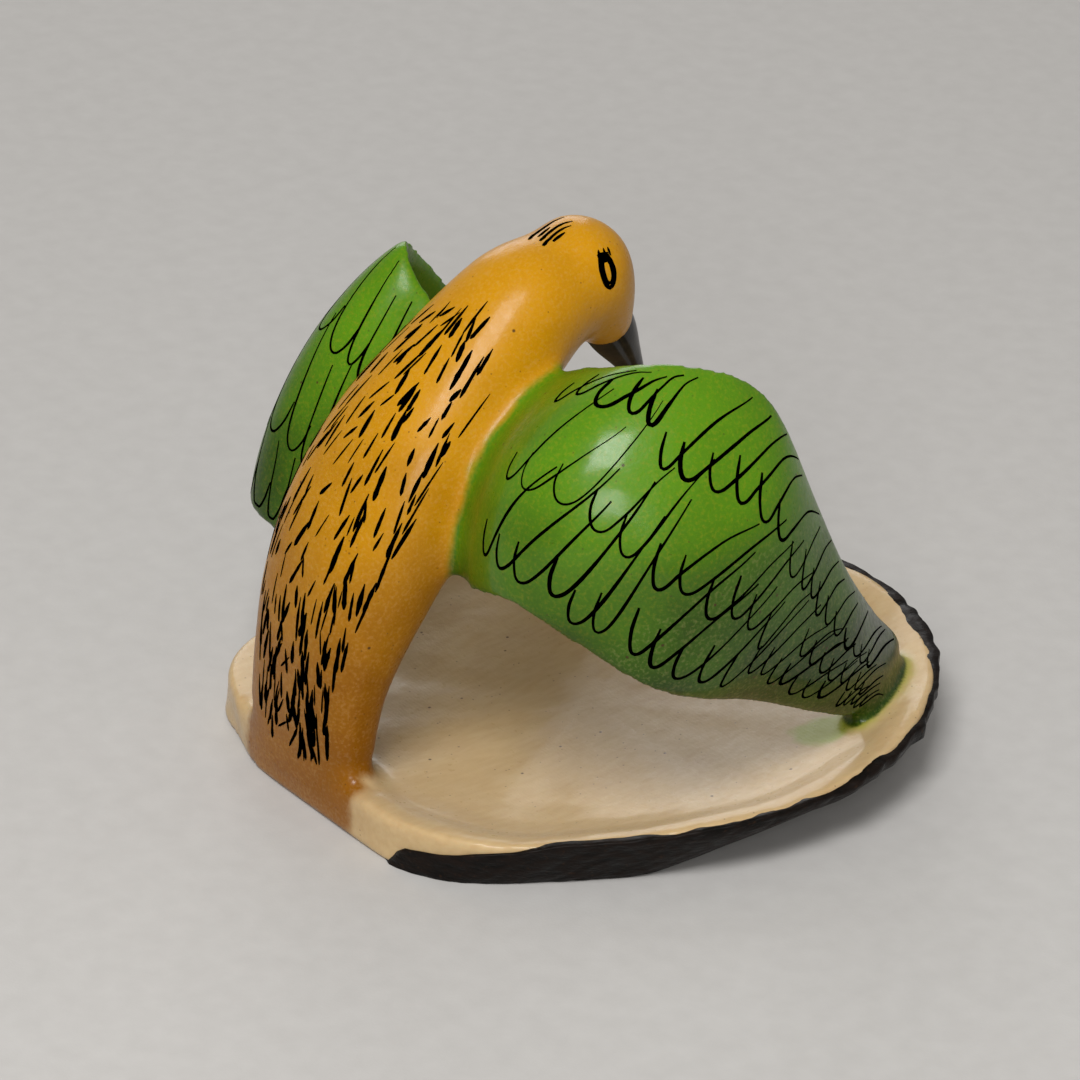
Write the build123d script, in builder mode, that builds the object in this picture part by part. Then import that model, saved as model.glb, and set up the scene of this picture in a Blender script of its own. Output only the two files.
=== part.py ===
from build123d import *
import math
import os

# Carved nut bird: a yellow bird with green wings and a black beak, cut from one palm nut,
# bending over the nut's lower slice, which is left as a shallow dish in its dark seed coat.
# Frame: X to the bird's right, Y the way it faces, Z up, origin on the ground under the dish.

os.makedirs("parts", exist_ok=True)

# ---- Driving dimensions (mm) ----

# The nut slice's outline seen from above, anticlockwise, at its rim and on the ground: both ends
# of the flat cut under the tail, then the points that its round stretches end at. The last arc
# comes back to the cut at a corner. The underside is a bowl, drawn in most at the right and front.
RIM_POINTS = [
    (-12.6, -21.0),
    (3.4, -21.0),
    (14.4, -15.6),
    (20.9, -4.4),
    (22.3, 6.6),
    (14.6, 20.0),
    (0.0, 24.3),
    (-17.6, 16.6),
    (-24.0, 1.0),
    (-22.0, -12.6),
    (-15.8, -19.4),
]
FOOT_POINTS = [
    (-11.3, -21.0),
    (3.4, -21.0),
    (12.0, -16.4),
    (16.4, -9.2),
    (14.6, -0.5),
    (9.5, 8.0),
    (-1.0, 12.8),
    (-13.2, 9.0),
    (-19.6, -1.0),
    (-20.2, -11.6),
    (-15.0, -19.2),
]
DISH_CENTRE = (-1.0, 1.5)
RIM_HEIGHT = 4.8  # rim above the ground at the middle of the dish
RIM_TILT = 3.8  # degrees, the rim climbs towards the bird's front
# Height, and how far the outline has come from the one on the ground to the one at the rim
WALL_LEVELS = [(0.0, 0.0), (1.4, 0.36), (2.8, 0.7), (3.8, 0.93), (4.6, 1.0), (9.0, 1.03)]
HOLLOW_LEVELS = [(0.4, 0.93), (-1.1, 0.84), (-2.4, 0.5)]  # height from the rim, size of the outline
HUSK_THICKNESS = 0.8
HUSK_CUT_Y = -20.0  # no seed coat is left behind this line, on the flat cut
HUSK_LIP = 0.35  # bare kernel between the top of the seed coat and the rim

# Body: x, y, z of the section's middle, half width, half depth, squareness (2 is an ellipse).
BODY_SECTIONS = [
    (-6.2, -19.2, 1.6, 6.3, 2.0, 3.0),
    (-6.0, -19.2, 5.0, 6.1, 2.1, 3.0),
    (-5.4, -18.8, 10.0, 6.1, 2.9, 2.7),
    (-4.8, -17.5, 15.0, 6.5, 4.2, 2.4),
    (-4.2, -15.1, 20.2, 6.9, 5.3, 2.2),
    (-3.6, -11.6, 25.4, 6.7, 5.6, 2.1),
    (-3.1, -7.4, 30.2, 5.8, 5.0, 2.0),
    (-2.6, -3.4, 33.8, 4.9, 4.6, 2.0),
    (-2.4, -0.4, 35.1, 4.2, 4.1, 2.0),
]
SECTION_POINTS = 12

HEAD_CENTRE = (-2.5, 0.9, 35.3)
HEAD_RADIUS = 4.1
HEAD_DROOP = 58.0  # degrees below level that the face looks
FACE_SECTIONS = [(0.5, 3.95), (3.2, 2.95), (5.9, 1.7)]  # distance from the head centre, radius

# Beak: distance beyond its root, sag below the face axis, radius.
BEAK_SECTIONS = [(-1.6, 0.0, 1.8), (0.6, 0.0, 1.6), (3.0, 0.1, 1.0), (5.2, 0.3, 0.55), (6.6, 0.5, 0.2)]

# Wings, from root to tip: upper edge, lower edge, bulge.
RIGHT_WING_SECTIONS = [
    ((-1.0, -4.5, 30.0), (-1.0, -13.2, 19.0), 1.4),
    ((3.5, -3.6, 32.0), (3.5, -13.2, 18.4), 2.0),
    ((8.4, -4.6, 34.2), (8.0, -14.9, 20.2), 2.2),
    ((11.5, -3.6, 35.4), (11.9, -15.0, 21.0), 2.6),
    ((13.5, -1.4, 35.4), (16.1, -11.5, 17.8), 3.0),
    ((15.1, 1.7, 34.1), (18.6, -9.0, 15.7), 3.0),
    ((16.3, 3.7, 31.5), (19.0, -4.9, 13.6), 2.5),
    ((16.5, 6.8, 24.3), (18.4, 0.1, 11.5), 1.8),
    ((16.6, 9.6, 18.1), (17.7, 5.8, 8.4), 1.0),
    ((14.0, 14.5, 11.9), (17.2, 8.8, 6.8), 0.6),
    ((12.0, 18.4, 7.6), (16.6, 10.9, 5.6), 0.3),
    ((11.4, 18.3, 4.9), (15.8, 11.6, 3.8), 0.2),
]
LEFT_WING_SECTIONS = [
    ((-4.5, -5.4, 29.5), (-4.5, -14.5, 17.0), 0.5),
    ((-8.5, -4.6, 31.0), (-9.0, -14.5, 15.7), 0.9),
    ((-12.1, -5.0, 32.6), (-13.8, -16.0, 15.6), 1.1),
    ((-14.8, -4.3, 34.6), (-18.2, -15.6, 16.0), 1.4),
    ((-17.4, -1.6, 32.4), (-20.9, -11.5, 14.4), 1.9),
    ((-19.2, 2.2, 28.0), (-22.0, -6.0, 12.2), 1.9),
    ((-19.9, 6.4, 22.0), (-21.9, 0.0, 10.2), 1.5),
    ((-18.9, 10.6, 16.0), (-20.8, 6.0, 8.4), 1.0),
    ((-16.6, 14.8, 11.0), (-19.3, 10.5, 6.8), 0.6),
    ((-12.9, 16.8, 7.4), (-17.2, 11.6, 5.8), 0.3),
    ((-12.4, 16.8, 4.8), (-16.4, 11.9, 3.8), 0.2),
]
WING_SHARES = [0.0, 0.25, 0.5, 0.75, 1.0]  # places along each chord that fix the surface
WING_THICKNESS = 1.8
WING_FIT = 0.05  # how closely the surface follows its points


# ---- Section outlines ----


def outline(points):
    """Draw a slice outline in the current line: the flat cut, tangent arcs and a closing line."""
    edge = Line(points[0], points[1])
    for end in points[2:]:
        edge = TangentArc(edge @ 1, end, tangent=edge % 1)
    Line(edge @ 1, points[0])


def wall_points(share):
    """Outline points between the ground, 0, and the rim, 1."""
    return [
        tuple(low + (high - low) * share for low, high in zip(foot, rim))
        for foot, rim in zip(FOOT_POINTS, RIM_POINTS)
    ]


def hollow_points(size):
    """The rim's outline points, scaled about the middle of the dish."""
    return [
        tuple(middle + (value - middle) * size for value, middle in zip(point, DISH_CENTRE))
        for point in RIM_POINTS
    ]


def ring_points(half_width, half_depth, squareness):
    """A closed section between an ellipse and a rounded rectangle."""
    points = []
    for step in range(SECTION_POINTS):
        angle = math.radians(360 * step / SECTION_POINTS)
        along, across = math.cos(angle), math.sin(angle)
        x = math.copysign(abs(along) ** (2 / squareness), along) * half_width
        y = math.copysign(abs(across) ** (2 / squareness), across) * half_depth
        points.append((x, y))
    return points


def section_planes(centres, lateral):
    """Planes across a path of centres, each square to the path and with the same sideways axis."""
    planes = []
    for index, centre in enumerate(centres):
        before = Vector(*centres[max(index - 1, 0)])
        after = Vector(*centres[min(index + 1, len(centres) - 1)])
        tangent = (after - before).normalized()
        sideways = (lateral - tangent * lateral.dot(tangent)).normalized()
        planes.append(Plane(origin=centre, x_dir=sideways, z_dir=tangent))
    return planes


def wing_surface(sections, outward):
    """The middle surface of a wing: bowed chords from the upper to the lower edge."""
    middles = [(Vector(*upper) + Vector(*lower)) / 2 for upper, lower, _ in sections]
    rows = []
    for index, (upper, lower, bulge) in enumerate(sections):
        span = middles[min(index + 1, len(middles) - 1)] - middles[max(index - 1, 0)]
        chord = Vector(*lower) - Vector(*upper)
        normal = chord.cross(span).normalized() * outward
        rows.append([
            Vector(*upper) + chord * share + normal * (4 * bulge * share * (1 - share))
            for share in WING_SHARES
        ])
    return Face.make_surface_from_array_of_points(rows, tol=WING_FIT)


def even_loop(points):
    """A closed spline through the points, evenly paced, so that lofted sections match."""
    steps = len(points)
    pace = [step / steps for step in range(steps + 1)]
    add(Edge.make_spline([Vector(*point) for point in points], periodic=True, parameters=pace))


# ---- Whole nut slice, before it is divided into kernel and seed coat ----

rim_plane = Plane.XY.offset(RIM_HEIGHT).rotated((RIM_TILT, 0, 0))
lip_plane = rim_plane.offset(-HUSK_LIP)
cut_plane = Plane.XZ.offset(-HUSK_CUT_Y)  # its upper side is behind the bird's tail

with BuildPart() as slice_block:
    for height, share in WALL_LEVELS:
        with BuildSketch(Plane.XY.offset(height)):
            with BuildLine():
                outline(wall_points(share))
            make_face()
    loft(ruled=True)
    split(bisect_by=rim_plane, keep=Keep.BOTTOM)

# The part of the slice inside the seed coat.
with BuildPart() as kernel_core:
    for height, share in WALL_LEVELS:
        with BuildSketch(Plane.XY.offset(height + HUSK_THICKNESS)):
            with BuildLine():
                outline(wall_points(share))
            make_face()
            offset(amount=-HUSK_THICKNESS, kind=Kind.INTERSECTION)
    loft(ruled=True)
    split(bisect_by=lip_plane, keep=Keep.BOTTOM)
    split(bisect_by=cut_plane, keep=Keep.BOTTOM)

# ---- Seed coat: the dark skin left on the wall and the underside ----

with BuildPart() as husk_skin:
    add(slice_block.part)
    split(bisect_by=lip_plane, keep=Keep.BOTTOM)
    split(bisect_by=cut_plane, keep=Keep.BOTTOM)
    add(kernel_core.part, mode=Mode.SUBTRACT)
husk_skin.part.label = "husk_skin"

# ---- Dish: the pale kernel, bare behind the cut and along the lip, hollowed on top ----

with BuildPart() as hollow:
    for depth, size in HOLLOW_LEVELS:
        with BuildSketch(rim_plane.offset(depth)):
            with BuildLine():
                outline(hollow_points(size))
            make_face()
    loft(ruled=True)

with BuildPart() as base_dish:
    add(slice_block.part)
    add(husk_skin.part, mode=Mode.SUBTRACT)
    add(hollow.part, mode=Mode.SUBTRACT)
base_dish.part.label = "base_dish"

# ---- Bird: tail, back and neck in one loft, and the drooping head ----

face_direction = (0, math.cos(math.radians(HEAD_DROOP)), -math.sin(math.radians(HEAD_DROOP)))
head_plane = Plane(origin=HEAD_CENTRE, x_dir=(1, 0, 0), z_dir=face_direction)
body_planes = section_planes([section[:3] for section in BODY_SECTIONS], Vector(1, 0, 0))

with BuildPart() as bird_body:
    for plane, section in zip(body_planes, BODY_SECTIONS):
        half_width, half_depth, squareness = section[3:]
        with BuildSketch(plane):
            with BuildLine():
                even_loop(ring_points(half_width, half_depth, squareness))
            make_face()
    loft()
    with Locations(HEAD_CENTRE):
        Sphere(HEAD_RADIUS)
    for distance, radius in FACE_SECTIONS:
        with BuildSketch(head_plane.offset(distance)):
            Circle(radius)
    loft()
    add(base_dish.part, mode=Mode.SUBTRACT)
    add(husk_skin.part, mode=Mode.SUBTRACT)
bird_body.part.label = "bird_body"

# ---- Beak: a short cone with a slight hook, let into the face ----

face_end = FACE_SECTIONS[-1][0]
with BuildPart() as beak:
    for distance, sag, radius in BEAK_SECTIONS:
        with BuildSketch(head_plane.offset(face_end + distance)):
            with Locations((0, -sag)):
                Circle(radius)
    loft()
    add(bird_body.part, mode=Mode.SUBTRACT)
beak.part.label = "beak"

# ---- Wings: bowed sheets from the bird's flanks round the nut and down to the rim ----

with BuildPart() as right_wing:
    thicken(wing_surface(RIGHT_WING_SECTIONS, 1), amount=WING_THICKNESS / 2, both=True)
    add(bird_body.part, mode=Mode.SUBTRACT)
    add(base_dish.part, mode=Mode.SUBTRACT)
    add(husk_skin.part, mode=Mode.SUBTRACT)
right_wing.part.label = "right_wing"

with BuildPart() as left_wing:
    thicken(wing_surface(LEFT_WING_SECTIONS, -1), amount=WING_THICKNESS / 2, both=True)
    add(bird_body.part, mode=Mode.SUBTRACT)
    add(base_dish.part, mode=Mode.SUBTRACT)
    add(husk_skin.part, mode=Mode.SUBTRACT)
left_wing.part.label = "left_wing"

# ---- One STEP file for each piece ----

for piece in (base_dish, husk_skin, bird_body, beak, right_wing, left_wing):
    export_step(piece.part, f"parts/{piece.part.label}.step")
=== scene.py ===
import bmesh
import bpy
import math
import numpy as np
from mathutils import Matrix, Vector, noise
from mathutils.bvhtree import BVHTree


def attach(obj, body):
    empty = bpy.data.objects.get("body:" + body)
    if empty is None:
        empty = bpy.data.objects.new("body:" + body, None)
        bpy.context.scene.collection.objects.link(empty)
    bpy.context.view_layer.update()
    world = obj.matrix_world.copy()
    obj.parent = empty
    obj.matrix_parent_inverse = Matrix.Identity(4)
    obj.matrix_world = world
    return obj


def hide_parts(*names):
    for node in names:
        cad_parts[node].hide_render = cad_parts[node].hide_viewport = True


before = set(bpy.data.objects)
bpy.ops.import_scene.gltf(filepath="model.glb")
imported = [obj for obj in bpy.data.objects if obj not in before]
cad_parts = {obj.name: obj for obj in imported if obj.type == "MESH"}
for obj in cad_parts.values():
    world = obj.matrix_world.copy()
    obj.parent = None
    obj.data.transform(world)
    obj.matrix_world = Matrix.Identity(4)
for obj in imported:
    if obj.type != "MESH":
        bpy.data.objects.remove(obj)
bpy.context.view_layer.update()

# Carved nut bird. Everything is shaped in millimetres and turned into metres at the end.
# Frame: X to the bird's right, Y the way it faces, Z up, origin under the dish.
MM = 0.001
rng = np.random.default_rng(7)

# ---- Driving dimensions (mm) ----
# The outlines and sections are the ones that the CAD solids use.

# Outline of the nut slice at its rim and on the ground: both ends of the flat cut, then arc ends
RIM_POINTS = [
    (-12.6, -21.0),
    (3.4, -21.0),
    (14.4, -15.6),
    (20.9, -4.4),
    (22.3, 6.6),
    (14.6, 20.0),
    (0.0, 24.3),
    (-17.6, 16.6),
    (-24.0, 1.0),
    (-22.0, -12.6),
    (-15.8, -19.4),
]
FOOT_POINTS = [
    (-11.3, -21.0),
    (3.4, -21.0),
    (12.0, -16.4),
    (16.4, -9.2),
    (14.6, -0.5),
    (9.5, 8.0),
    (-1.0, 12.8),
    (-13.2, 9.0),
    (-19.6, -1.0),
    (-20.2, -11.6),
    (-15.0, -19.2),
]
DISH_CENTRE = np.array((-1.0, 1.5))
RIM_HEIGHT = 4.8
RIM_SLOPE = math.tan(math.radians(3.8))
# The wall's worn profile: heights, and how far the outline has come from the ground's to the rim's
WALL_HEIGHTS = (0.0, 0.25, 1.4, 2.8, 3.8, 4.6, 9.0)
WALL_SHARES = (-0.04, 0.05, 0.36, 0.7, 0.93, 1.0, 1.03)

# x, y, z of the section's middle, half width, half depth, squareness
BODY_SECTIONS = [
    (-6.2, -19.2, 1.6, 6.3, 2.0, 3.0),
    (-6.0, -19.2, 5.0, 6.1, 2.1, 3.0),
    (-5.4, -18.8, 10.0, 6.1, 2.9, 2.7),
    (-4.8, -17.5, 15.0, 6.5, 4.2, 2.4),
    (-4.2, -15.1, 20.2, 6.9, 5.3, 2.2),
    (-3.6, -11.6, 25.4, 6.7, 5.6, 2.1),
    (-3.1, -7.4, 30.2, 5.8, 5.0, 2.0),
    (-2.6, -3.4, 33.8, 4.9, 4.6, 2.0),
    (-2.4, -0.4, 35.1, 4.2, 4.1, 2.0),
]
HEAD_CENTRE = np.array((-2.5, 0.9, 35.3))
HEAD_RADIUS = 4.1
HEAD_DROOP = math.radians(58.0)  # of the beak, below level
FACE_END = 5.9  # from the head's centre to the beak's root
FACE_RADIUS = 1.7
CHEEK_POWERS = (1.7, 1.15)  # how late and how softly the cheek draws in
# Distance beyond the root of the beak, sag, radius
BEAK_SECTIONS = [
    (-1.6, 0.0, 1.8),
    (0.6, 0.0, 1.65),
    (3.0, 0.1, 1.05),
    (5.2, 0.3, 0.55),
    (6.5, 0.5, 0.16),
]
BEAK_RIDGE, BEAK_GROOVE = 0.1, 0.13  # height and depth, as shares of the beak's radius

# Upper edge, lower edge, bulge of each wing section from root to tip
RIGHT_WING = [
    ((-1.0, -4.5, 30.0), (-1.0, -13.2, 19.0), 1.4),
    ((3.5, -3.6, 32.0), (3.5, -13.2, 18.4), 2.0),
    ((8.4, -4.6, 34.2), (8.0, -14.9, 20.2), 2.2),
    ((11.5, -3.6, 35.4), (11.9, -15.0, 21.0), 2.6),
    ((13.5, -1.4, 35.4), (16.1, -11.5, 17.8), 3.0),
    ((15.1, 1.7, 34.1), (18.6, -9.0, 15.7), 3.0),
    ((16.3, 3.7, 31.5), (19.0, -4.9, 13.6), 2.5),
    ((16.5, 6.8, 24.3), (18.4, 0.1, 11.5), 1.8),
    ((16.6, 9.6, 18.1), (17.7, 5.8, 8.4), 1.0),
    ((14.0, 14.5, 11.9), (17.2, 8.8, 6.8), 0.6),
    ((12.0, 18.4, 7.6), (16.6, 10.9, 5.6), 0.3),
    ((11.4, 18.3, 4.9), (15.8, 11.6, 3.8), 0.2),
]
LEFT_WING = [
    ((-4.5, -5.4, 29.5), (-4.5, -14.5, 17.0), 0.5),
    ((-8.5, -4.6, 31.0), (-9.0, -14.5, 15.7), 0.9),
    ((-12.1, -5.0, 32.6), (-13.8, -16.0, 15.6), 1.1),
    ((-14.8, -4.3, 34.6), (-18.2, -15.6, 16.0), 1.4),
    ((-17.4, -1.6, 32.4), (-20.9, -11.5, 14.4), 1.9),
    ((-19.2, 2.2, 28.0), (-22.0, -6.0, 12.2), 1.9),
    ((-19.9, 6.4, 22.0), (-21.9, 0.0, 10.2), 1.5),
    ((-18.9, 10.6, 16.0), (-20.8, 6.0, 8.4), 1.0),
    ((-16.6, 14.8, 11.0), (-19.3, 10.5, 6.8), 0.6),
    ((-12.9, 16.8, 7.4), (-17.2, 11.6, 5.8), 0.3),
    ((-12.4, 16.8, 4.8), (-16.4, 11.9, 3.8), 0.2),
]
WING_HALF = 1.0  # half thickness at mid chord
EDGE_POWER = 0.45  # a lower one makes a wing's edges blunter
# How much thicker a wing is at its ends, and over what share of its length
ROOT_SWELL, ROOT_RUN = 0.9, 0.16
TIP_SWELL, TIP_RUN = 0.5, 0.1

KERNEL_LIFT = 0.02  # of the kernel's underside above the seed coat's
# The rim's waver: height, waves around, start
SWAY = [(0.12, 3, 0.6), (0.08, 7, 2.1), (0.05, 15, 0.0)]
# The hollow: share of the rim's outline, and height from the rim's plane
HOLLOW = [
    (0.965, -0.06),
    (0.925, -0.2),
    (0.885, -0.62),
    (0.84, -1.1),
    (0.76, -1.55),
    (0.64, -1.95),
    (0.48, -2.3),
    (0.3, -2.5),
    (0.12, -2.6),
]
HUSK_THICKNESS = 0.2  # that shows beyond the kernel
HUSK_SCAB = 0.45  # more, at the front right
HUSK_BELOW_RIM = 0.15
HUSK_CUT_TOP = 1.55  # height of the seed coat that is left along the flat cut
# Where the seed coat starts behind the flat cut, and over what length it comes to its full height
HUSK_RIGHT_START, HUSK_RIGHT_RUN = -20.5, 0.45
HUSK_LEFT_START, HUSK_LEFT_RUN = -8.0, 2.5
HUSK_CLIMB_START, HUSK_CLIMB_RUN = -20.4, 6.5
HUSK_LEVELS = (0.02, 0.12, 0.25, 0.4, 0.55, 0.7, 0.82, 0.92, 0.98)  # shares of its height
HUSK_BACK = 0.5  # how far inside the kernel's wall its hidden face lies
SOLE_THICKNESS = 0.08

VOXEL = 0.25
BLEED = (14.6, 10.0)  # where green ran out of the right wing's tip into the dish

# ---- Curves and closed meshes ----


def through(rows, count):
    """A smooth natural curve through rows of values, sampled evenly by row."""
    rows = np.asarray(rows, float)
    last = len(rows) - 1
    out = []
    for place in np.linspace(0, last, count):
        i = min(int(place), last - 1)
        f = place - i
        p1, p2 = rows[i], rows[i + 1]
        p0 = rows[i - 1] if i > 0 else 2 * p1 - p2
        p3 = rows[i + 2] if i + 2 <= last else 2 * p2 - p1
        out.append(
            0.5 * (2 * p1 + (p2 - p0) * f + (2 * p0 - 5 * p1 + 4 * p2 - p3) * f**2
                   + (3 * p1 - p0 - 3 * p2 + p3) * f**3)
        )
    return np.array(out)


def tube(rings):
    """Vertices and faces of a closed tube through rings of points, with fan caps."""
    rings = np.asarray(rings)
    rows, around = rings.shape[:2]
    verts = list(rings.reshape(-1, 3))
    faces = []
    for i in range(rows - 1):
        for k in range(around):
            n = (k + 1) % around
            faces.append((i * around + k, i * around + n, (i + 1) * around + n, (i + 1) * around + k))
    for row, flip in ((0, True), (rows - 1, False)):
        verts.append(rings[row].mean(0))
        hub = len(verts) - 1
        for k in range(around):
            a, b = row * around + k, row * around + (k + 1) % around
            faces.append((b, a, hub) if flip else (a, b, hub))
    return np.array(verts), faces


def unit(v):
    return v / np.linalg.norm(v, axis=-1, keepdims=True)


def distances(points):
    """How far along a line of points each one is."""
    return np.concatenate([[0], np.cumsum(np.linalg.norm(np.diff(points, axis=0), axis=1))])


# The head's directions: along the beak, to the bird's right, and over its crown
FORWARD = np.array((0, math.cos(HEAD_DROOP), -math.sin(HEAD_DROOP)))
RIGHTWARD = np.array((1.0, 0, 0))
OVER = np.cross(RIGHTWARD, FORWARD)
CROWN_SHARE = 0.98  # of the way from the head's waist to the pole of its crown


def body_rings(count=90, around=48):
    """Rounded sections of the body, from the foot of the tail up the back to the neck."""
    rows = through(BODY_SECTIONS, count)
    centres = rows[:, :3]
    tangents = unit(np.gradient(centres, axis=0))
    angle = np.linspace(0, 2 * math.pi, around, endpoint=False)
    rings = []
    for centre, tangent, (half_width, half_depth, square) in zip(centres, tangents, rows[:, 3:]):
        lateral = unit(np.array((1.0, 0, 0)) - tangent * tangent[0])
        dorsal = unit(np.cross(lateral, tangent))
        c, s = np.cos(angle), np.sin(angle)
        x = np.sign(c) * np.abs(c) ** (2 / square) * half_width
        y = np.sign(s) * np.abs(s) ** (2 / square) * half_depth
        rings.append(centre + x[:, None] * lateral + y[:, None] * -dorsal)
    return np.array(rings)


def head_rings(count=40, around=40):
    """The head: round at the crown, drawing in with a soft cheek to the root of the beak."""
    angle = np.linspace(0, 2 * math.pi, around, endpoint=False)
    circle = np.cos(angle)[:, None] * RIGHTWARD + np.sin(angle)[:, None] * OVER
    late, soft = CHEEK_POWERS
    rings = []
    for k in range(count + 1):
        share = k / count
        if share < 0.5:
            lean = (1 - share / 0.5) * math.pi / 2 * CROWN_SHARE
            along, radius = -HEAD_RADIUS * math.sin(lean), HEAD_RADIUS * math.cos(lean)
        else:
            f = (share - 0.5) / 0.5
            along = FACE_END * f
            radius = FACE_RADIUS + (HEAD_RADIUS - FACE_RADIUS) * (1 - f**late) ** soft
        rings.append(HEAD_CENTRE + FORWARD * along + radius * circle)
    return np.array(rings)


def wing_frame(sections, outward, count):
    """Upper edge, chord, outward normal and bulge along a wing, root to tip."""
    rows = through([list(u) + list(l) + [b] for u, l, b in sections], count)
    upper, lower, bulge = rows[:, :3], rows[:, 3:6], rows[:, 6]
    chord = lower - upper
    span = np.gradient((upper + lower) / 2, axis=0)
    normal = unit(np.cross(chord, span)) * outward
    return upper, chord, normal, bulge


def wing_rings(sections, outward, count=90, across=26):
    """Sections of a wing: its bowed chord, thickened to both sides and blunt at both edges."""
    upper, chord, normal, bulge = wing_frame(sections, outward, count)
    share = (1 - np.cos(np.linspace(0, math.pi, across))) / 2
    rings = []
    for i in range(count):
        root = 1 + ROOT_SWELL * max(0, 1 - i / (ROOT_RUN * count)) ** 2
        tip = 1 + TIP_SWELL * max(0, (i / count - (1 - TIP_RUN)) / TIP_RUN) ** 2
        half = WING_HALF * root * tip * np.sin(math.pi * share) ** EDGE_POWER
        base = upper[i] + chord[i] * share[:, None]
        bow = 4 * bulge[i] * share * (1 - share)
        outer = base + normal[i] * (bow + half)[:, None]
        inner = base + normal[i] * (bow - half)[:, None]
        rings.append(np.concatenate([outer, inner[-2:0:-1]]))
    return np.array(rings)


def arc_points(start, tangent, end, steps):
    """Points on the arc that leaves start along tangent and reaches end, and its last tangent."""
    chord = end - start
    left = np.array((-tangent[1], tangent[0]))
    curve = 2 * chord @ left / (chord @ chord)
    if abs(curve) < 1e-6:
        return [start + chord * k / steps for k in range(steps)], tangent
    centre = start + left / curve
    sweep = 2 * math.atan2(chord @ left, chord @ tangent)
    points = []
    for k in range(steps):
        a = sweep * k / steps
        c, s = math.cos(a), math.sin(a)
        r = start - centre
        points.append(centre + np.array((c * r[0] - s * r[1], s * r[0] + c * r[1])))
    c, s = math.cos(sweep), math.sin(sweep)
    return points, np.array((c * tangent[0] - s * tangent[1], s * tangent[0] + c * tangent[1]))


# Points along an outline's flat cut, each arc and the short closing side, and how worn its corners are
CUT_STEPS, ARC_STEPS, CLOSING_STEPS = 40, 60, 12
WEAR_ROUNDS = 60


def outline_points(ends, count):
    """A slice outline as evenly spaced points, starting at the left end of the flat cut."""
    ends = np.array(ends)
    start, here, tangent = ends[0], ends[1], np.array((1.0, 0.0))
    points = [start + (here - start) * k / CUT_STEPS for k in range(CUT_STEPS)]
    for stop in ends[2:]:
        arc, tangent = arc_points(here, tangent, stop, ARC_STEPS)
        points += arc
        here = stop
    points += [here + (start - here) * k / CLOSING_STEPS for k in range(CLOSING_STEPS)]
    points = np.array(points)
    # Wear the corners round.
    for _ in range(WEAR_ROUNDS):
        points = (np.roll(points, 1, 0) + 2 * points + np.roll(points, -1, 0)) / 4
    closed = np.vstack([points, points[:1]])
    length = distances(closed)
    even = np.linspace(0, length[-1], count, endpoint=False)
    return np.stack([np.interp(even, length, closed[:, i]) for i in (0, 1)], axis=1)


def wall_ring(rim, foot, height, push):
    """The outline on the wall at a height, or at one height for each point, pushed outwards."""
    share = np.reshape(np.interp(height, WALL_HEIGHTS, WALL_SHARES), (-1, 1))
    xy = foot + (rim - foot) * share + unit(rim - DISH_CENTRE) * np.reshape(push, (-1, 1))
    return np.column_stack([xy, np.broadcast_to(height, len(rim))])


def dish_shell(count=260):
    """The kernel: wall, worn rim and shallow hollow, on the same outlines as its CAD solid."""
    outline = outline_points(RIM_POINTS, count)
    ground = outline_points(FOOT_POINTS, count)
    angle = np.linspace(0, 2 * math.pi, count, endpoint=False)
    sway = sum(rise * np.sin(waves * angle + start) for rise, waves, start in SWAY)
    top = RIM_HEIGHT + RIM_SLOPE * outline[:, 1] + sway
    foot = wall_ring(outline, ground, KERNEL_LIFT, 0.0)
    middle = np.array((*DISH_CENTRE, KERNEL_LIFT))
    rings = [middle + (foot - middle) * 0.45, foot]
    rings += [wall_ring(outline, ground, height, 0.0) for height in (0.25, 0.8, 1.4, 2.1)]
    for drop, push in ((1.2, 0.0), (0.4, -0.02), (0.0, -0.25)):
        rings.append(wall_ring(outline, ground, top - drop, push))
    for size, below in HOLLOW:
        xy = DISH_CENTRE + (outline - DISH_CENTRE) * size
        rings.append(np.column_stack([xy, RIM_HEIGHT + RIM_SLOPE * xy[:, 1] + sway * size + below]))
    return np.array(rings)


def flat_noise(outline, scale, level):
    """Smooth noise along an outline, taken from one level of a solid noise."""
    return np.array([noise.noise(Vector((x * scale, y * scale, level))) for x, y in outline])


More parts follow.
